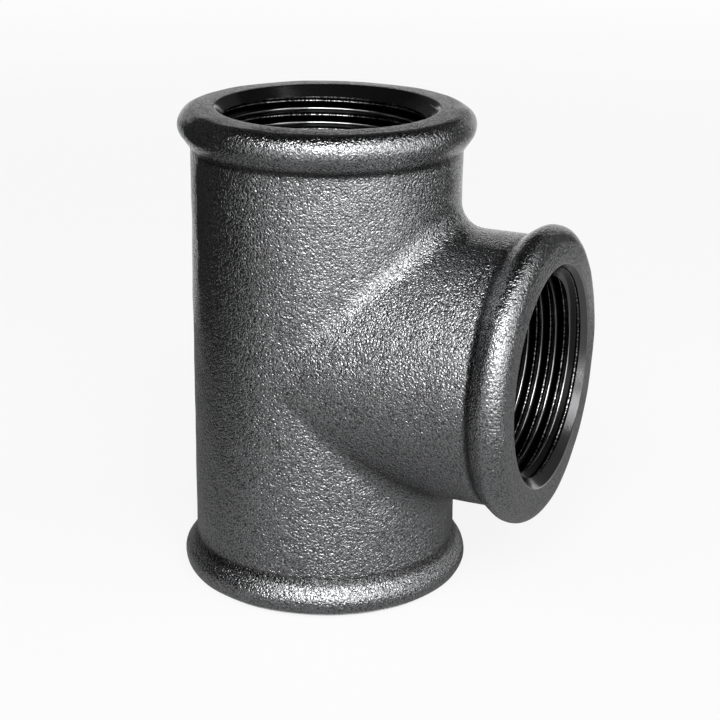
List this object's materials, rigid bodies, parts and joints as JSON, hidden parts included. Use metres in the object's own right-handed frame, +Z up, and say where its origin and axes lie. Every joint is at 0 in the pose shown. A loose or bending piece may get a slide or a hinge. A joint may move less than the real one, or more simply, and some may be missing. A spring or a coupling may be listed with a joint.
{
  "type": "threaded pipe tee",
  "caption": "Equal pipe tee in black malleable iron, with a rolled bead and a female pipe thread at each end.",
  "frame": {"origin": "where the axis of the run crosses the axis of the branch", "axes": "+Z up along the run, +X along the branch towards its mouth"},
  "size_m": [0.061, 0.046, 0.076],
  "materials": {
    "black_iron": "oiled black casting skin with a fine sandy grain, smooth where the mouths and threads are cut"
  },
  "bodies": {
    "root": {"tee_casting": "black_iron"}
  },
  "joints": []
}
